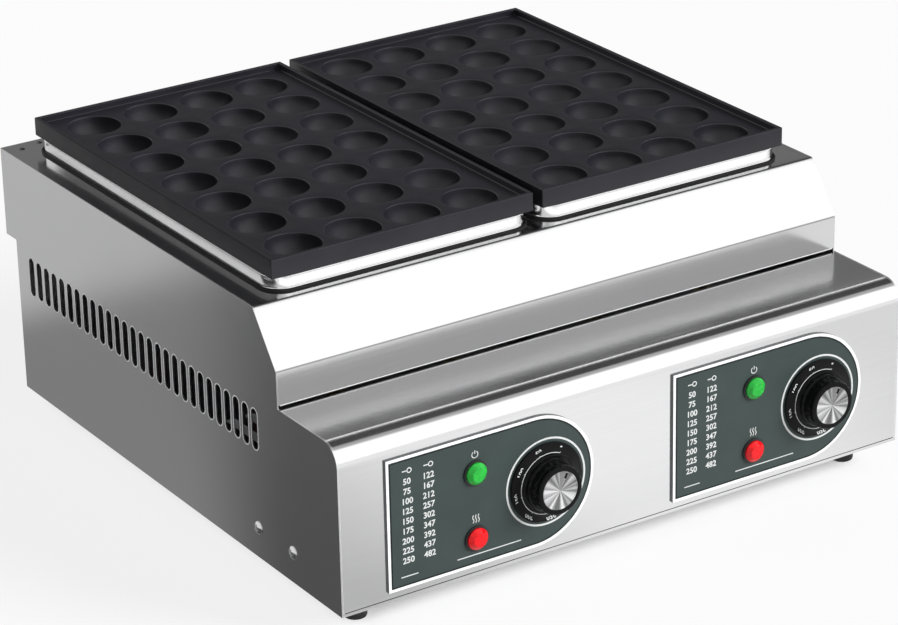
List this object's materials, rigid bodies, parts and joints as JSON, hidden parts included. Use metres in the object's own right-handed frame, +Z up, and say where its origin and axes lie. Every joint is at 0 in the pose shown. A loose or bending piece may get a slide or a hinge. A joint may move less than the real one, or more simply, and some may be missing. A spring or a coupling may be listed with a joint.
{
  "type": "takoyaki maker",
  "caption": "Countertop takoyaki maker with side-by-side cast cup plates on a stainless casing, and a console carrying a thermostat dial and pilot lamps for each plate.",
  "frame": {"origin": "centre of the overall length and width, on the surface the feet stand on", "axes": "+X to the right seen from the front, +Y from the console's front to the back, +Z up"},
  "size_m": [0.4806, 0.496, 0.233],
  "materials": {
    "stainless_steel": "smooth polished stainless sheet, semi-bright",
    "galvanised_steel": "dull zinc-coated sheet",
    "coated_cast_iron": "satin black non-stick coating on a casting",
    "bright_steel": "bright zinc-plated steel",
    "rod_sheath": "heat-darkened tubular sheath",
    "brass": "turned brass",
    "copper": "drawn copper tube",
    "ivory_insulator": "moulded ivory insulating plastic",
    "knob_black": "glossy black",
    "spun_aluminium": "concentrically spun disc",
    "label_print": "printed dark grey-green film with a pale border",
    "green_lens": "clear green lens",
    "red_lens": "clear red lens",
    "black_plastic": "matt black",
    "wire_sleeve": "silicone wire sleeve",
    "foot_rubber": "black rubber",
    "dark_rivet": "dull steel rivet"
  },
  "bodies": {
    "casing": {"side_panel_left": "stainless_steel", "side_panel_right": "stainless_steel", "top_deck": "stainless_steel", "console_cover": "stainless_steel", "rear_panel": "stainless_steel", "base_pan": "galvanised_steel", "baking_plate_left": "coated_cast_iron", "baking_plate_right": "coated_cast_iron", "heat_tray_left": "galvanised_steel", "heat_tray_right": "galvanised_steel", "tray_straps_left": "galvanised_steel", "tray_straps_right": "galvanised_steel", "plate_studs_left": "bright_steel", "plate_studs_right": "bright_steel", "stud_nuts_left": "bright_steel", "stud_nuts_right": "bright_steel", "heating_element_left": "rod_sheath", "heating_element_right": "rod_sheath", "element_bushes_left": "brass", "element_bushes_right": "brass", "element_clamps_left": "galvanised_steel", "element_clamps_right": "galvanised_steel", "clamp_screws_left": "bright_steel", "clamp_screws_right": "bright_steel", "feeler_left": "copper", "feeler_right": "copper", "feeler_clip_left": "galvanised_steel", "feeler_clip_right": "galvanised_steel", "feeler_clip_screws": "bright_steel", "thermostat_left": "ivory_insulator", "thermostat_right": "ivory_insulator", "thermostat_screws": "bright_steel", "control_label_left": "label_print", "control_label_right": "label_print", "power_lamp_left": "green_lens", "power_lamp_right": "green_lens", "heat_lamp_left": "red_lens", "heat_lamp_right": "red_lens", "lamp_holders": "black_plastic", "lamp_nuts": "black_plastic", "terminal_block": "ivory_insulator", "cord_gland": "black_plastic", "gland_nut": "black_plastic", "wiring_left": "wire_sleeve", "wiring_right": "wire_sleeve", "foot_front_left": "foot_rubber", "foot_front_right": "foot_rubber", "foot_rear_left": "foot_rubber", "foot_rear_right": "foot_rubber", "foot_screws": "bright_steel", "side_screws": "bright_steel", "rear_screws": "bright_steel", "deck_rivets": "dark_rivet"},
    "left_knob": {"knob_left": "knob_black", "knob_cap_left": "spun_aluminium", "thermostat_shaft_left": "brass"},
    "right_knob": {"knob_right": "knob_black", "knob_cap_right": "spun_aluminium", "thermostat_shaft_right": "brass"}
  },
  "joints": [
    {"name": "left_thermostat_turn", "type": "hinge", "parent": "casing", "child": "left_knob", "pos_m": [-0.074, -0.228, 0.0735], "axis": [0, 1, 0], "range_deg": [0, 285]},
    {"name": "right_thermostat_turn", "type": "hinge", "parent": "casing", "child": "right_knob", "pos_m": [0.162, -0.228, 0.0735], "axis": [0, 1, 0], "range_deg": [0, 285]}
  ]
}
